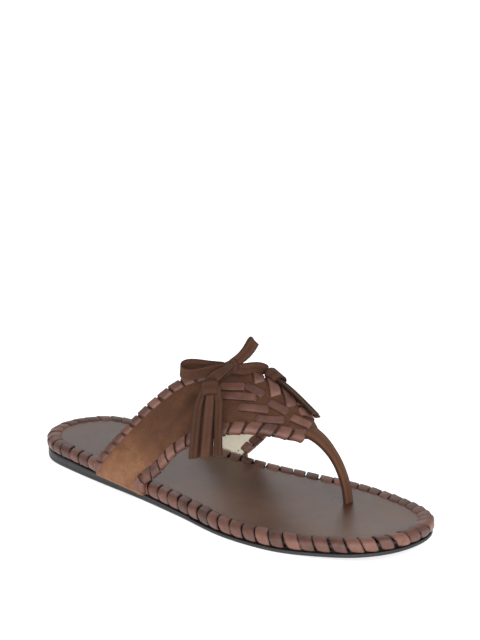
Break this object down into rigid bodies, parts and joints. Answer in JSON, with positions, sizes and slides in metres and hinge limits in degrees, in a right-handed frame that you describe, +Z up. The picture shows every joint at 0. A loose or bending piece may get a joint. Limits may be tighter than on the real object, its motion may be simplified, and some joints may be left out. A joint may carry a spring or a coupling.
{
  "type": "flip flop",
  "caption": "Flat leather thong sandal for a right foot: lace-wound raised rim, suede upper with chevron lacing, tied bow and swinging tassels.",
  "frame": {"origin": "on the ground under the middle of the sole's bounding box", "axes": "+X to the toe, +Y to the big-toe (inner) side, +Z up"},
  "size_m": [0.2546, 0.0891, 0.0843],
  "materials": {
    "rubber_dark": "matte moulded rubber",
    "stack_black": "matte black layered lift",
    "board": "pressed fibre board, hidden",
    "foam": "soft foam sheet, hidden",
    "insole_leather": "smooth satin brown leather",
    "rim_leather": "rolled brown leather",
    "lace_leather": "reddish brown satin leather lace",
    "suede_tan": "tan suede",
    "lining_cream": "cream lining leather",
    "bow_lace": "brown suede lace"
  },
  "bodies": {
    "sandal": {"outsole": "rubber_dark", "heel_wedge": "stack_black", "sole_filler": "stack_black", "insole_board": "board", "foam_pad": "foam", "sock_lining": "insole_leather", "rim_core": "rim_leather", "rim_lace": "lace_leather", "upper_suede": "suede_tan", "upper_lining": "lining_cream", "rear_lace": "lace_leather", "outer_front_lace": "lace_leather", "inner_front_lace": "lace_leather", "chevron_outer_1": "lace_leather", "chevron_outer_2": "lace_leather", "chevron_outer_3": "lace_leather", "chevron_outer_4": "lace_leather", "chevron_inner_1": "lace_leather", "chevron_inner_2": "lace_leather", "chevron_inner_3": "lace_leather", "chevron_side_1": "lace_leather", "chevron_side_2": "lace_leather", "chevron_side_3": "lace_leather", "toe_thong": "suede_tan", "thong_anchor": "stack_black", "bow_knot": "bow_lace"},
    "near_loop": {"near_loop": "bow_lace"},
    "far_loop": {"far_loop": "bow_lace"},
    "near_tail": {"near_tail": "bow_lace"},
    "far_tail": {"far_tail": "bow_lace"},
    "near_tassel": {"near_tassel_head": "bow_lace", "near_fringe_1": "bow_lace", "near_fringe_2": "bow_lace", "near_fringe_3": "bow_lace", "near_fringe_4": "bow_lace", "near_fringe_5": "bow_lace"},
    "far_tassel": {"far_tassel_head": "bow_lace", "far_fringe_1": "bow_lace", "far_fringe_2": "bow_lace", "far_fringe_3": "bow_lace", "far_fringe_4": "bow_lace"}
  },
  "joints": [
    {"name": "near_tail_hinge", "type": "hinge", "parent": "sandal", "child": "near_tail", "pos_m": [-0.002, 0.00632, 0.0713], "axis": [-0.8813, 0.3015, 0.3638], "range_deg": [0, 60]},
    {"name": "near_tassel_hinge", "type": "hinge", "parent": "near_tail", "child": "near_tassel", "pos_m": [-0.0069, -0.00028, 0.0649], "axis": [-0.9222, -0.3438, -0.177], "range_deg": [0, 50]},
    {"name": "far_tail_hinge", "type": "hinge", "parent": "sandal", "child": "far_tail", "pos_m": [-0.0007, 0.01672, 0.0688], "axis": [0.8889, -0.3612, -0.2818], "range_deg": [0, 40]},
    {"name": "far_tassel_hinge", "type": "hinge", "parent": "far_tail", "child": "far_tassel", "pos_m": [0.0041, 0.03212, 0.0642], "axis": [-0.1535, -0.9561, 0.2498], "range_deg": [0, 50]},
    {"name": "near_loop_hinge", "type": "hinge", "parent": "sandal", "child": "near_loop", "pos_m": [-0.00982, 0.00661, 0.07018], "axis": [0.043, 0.0628, 0.9971], "range_deg": [-25, 8], "stiffness_Nm_per_rad": 0.004},
    {"name": "far_loop_hinge", "type": "hinge", "parent": "sandal", "child": "far_loop", "pos_m": [-0.00571, 0.01497, 0.07251], "axis": [-0.713, -0.2108, 0.6688], "range_deg": [-15, 5], "stiffness_Nm_per_rad": 0.004}
  ]
}
